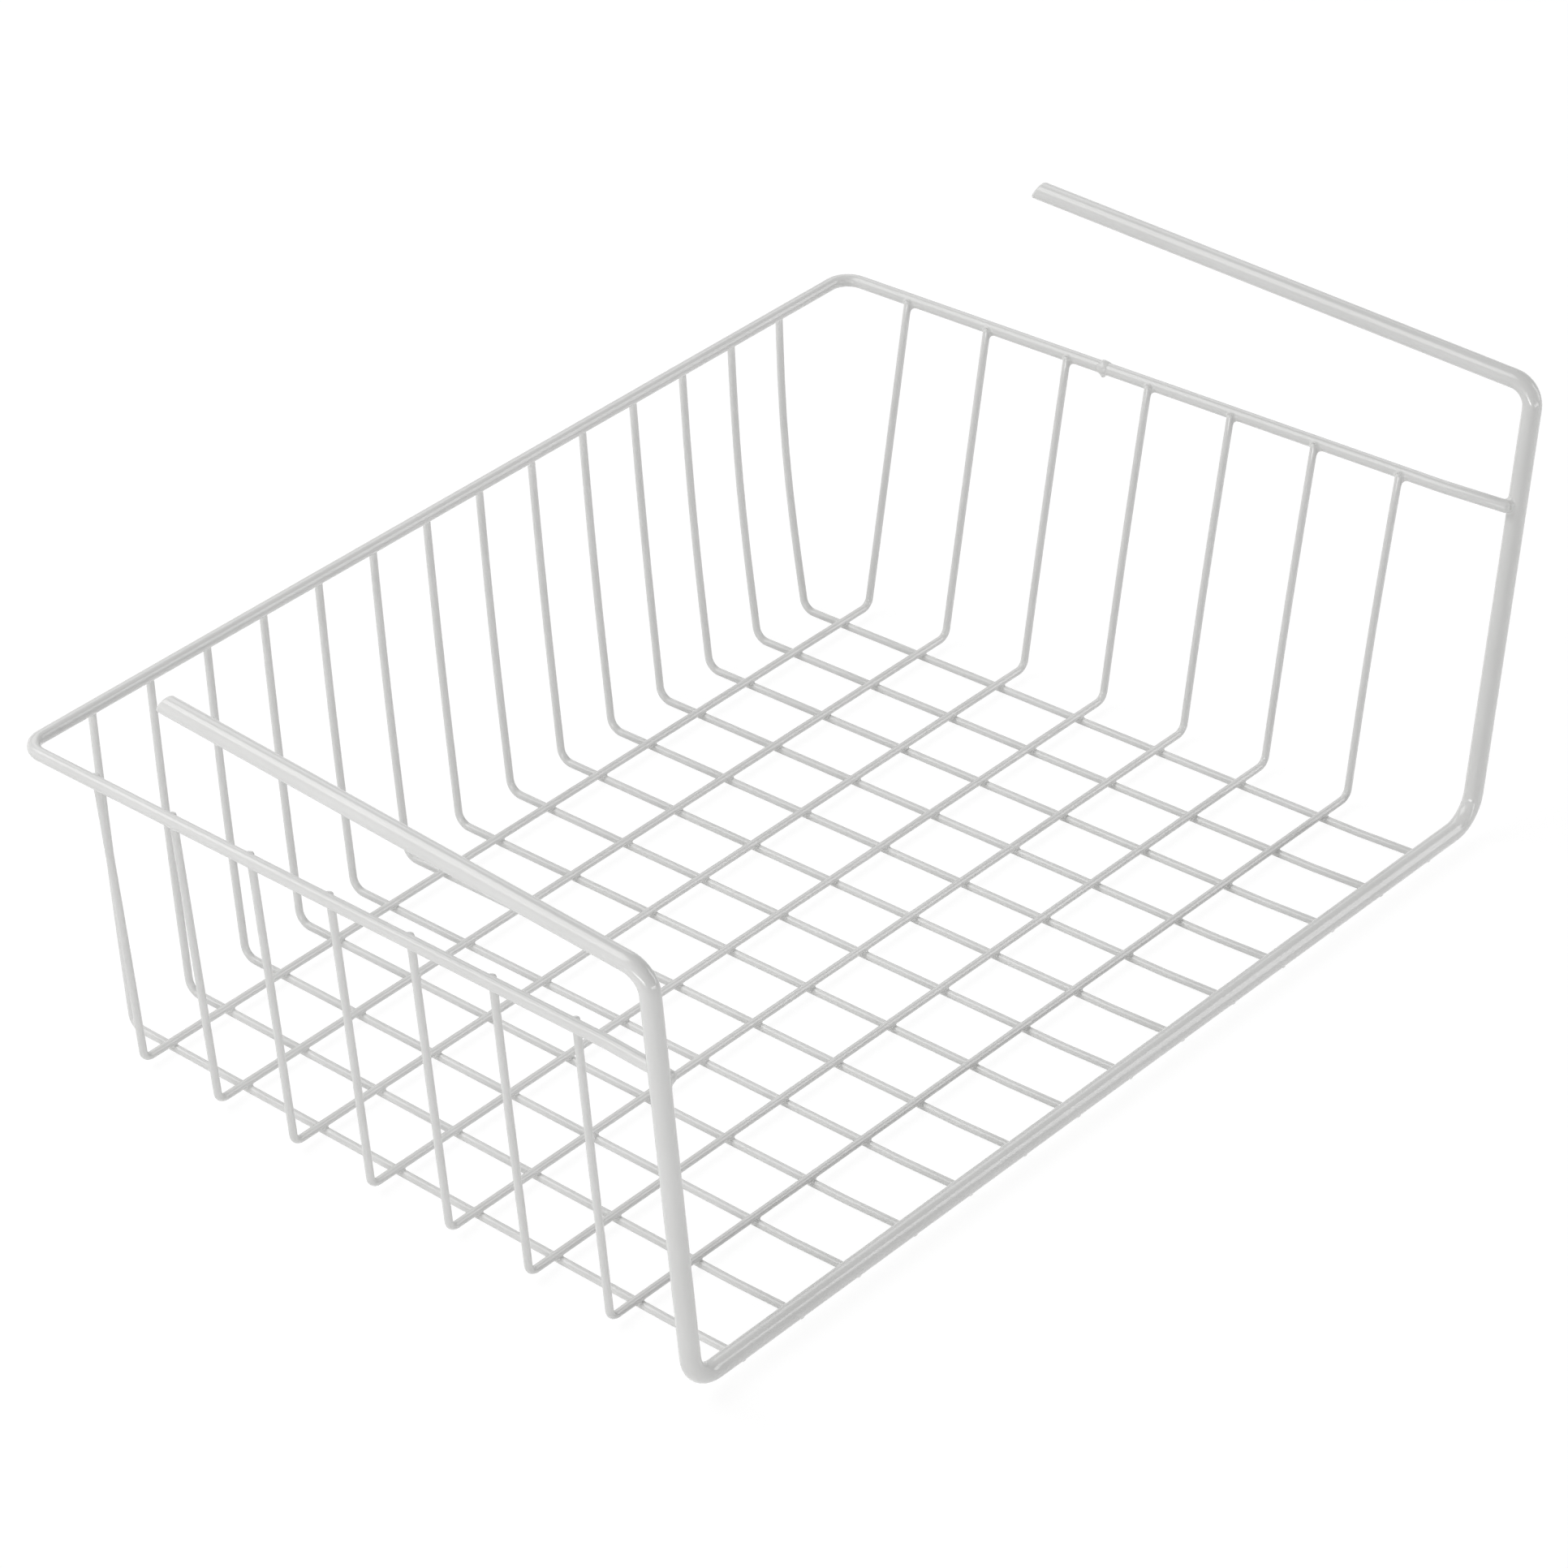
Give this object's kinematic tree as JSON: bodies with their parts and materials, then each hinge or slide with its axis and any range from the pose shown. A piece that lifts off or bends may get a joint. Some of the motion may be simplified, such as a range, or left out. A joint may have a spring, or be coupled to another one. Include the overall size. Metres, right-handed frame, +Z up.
{
  "type": "under shelf basket",
  "caption": "White coated wire basket with arms that slide over a shelf board, so that the basket hangs below it with its front open.",
  "frame": {"origin": "middle of the bounding box, on the surface that the floor's long wires stand on", "axes": "+X from the basket's left side to its right side along the front bar, +Y from the open front to the back wall, which is the way the arms point, +Z up"},
  "size_m": [0.417, 0.2557, 0.1584],
  "materials": {
    "white_coated_steel_wire": "satin white powder coating over welded steel wire"
  },
  "bodies": {
    "root": {"hanging_frame_wire": "white_coated_steel_wire", "rim_wire": "white_coated_steel_wire", "long_wire_01": "white_coated_steel_wire", "long_wire_02": "white_coated_steel_wire", "long_wire_03": "white_coated_steel_wire", "long_wire_04": "white_coated_steel_wire", "long_wire_05": "white_coated_steel_wire", "long_wire_06": "white_coated_steel_wire", "long_wire_07": "white_coated_steel_wire", "long_wire_08": "white_coated_steel_wire", "long_wire_09": "white_coated_steel_wire", "long_wire_10": "white_coated_steel_wire", "long_wire_11": "white_coated_steel_wire", "long_wire_12": "white_coated_steel_wire", "long_wire_13": "white_coated_steel_wire", "long_wire_14": "white_coated_steel_wire", "cross_wire_1": "white_coated_steel_wire", "cross_wire_2": "white_coated_steel_wire", "cross_wire_3": "white_coated_steel_wire", "cross_wire_4": "white_coated_steel_wire", "cross_wire_5": "white_coated_steel_wire", "cross_wire_6": "white_coated_steel_wire", "cross_wire_7": "white_coated_steel_wire"}
  },
  "joints": []
}
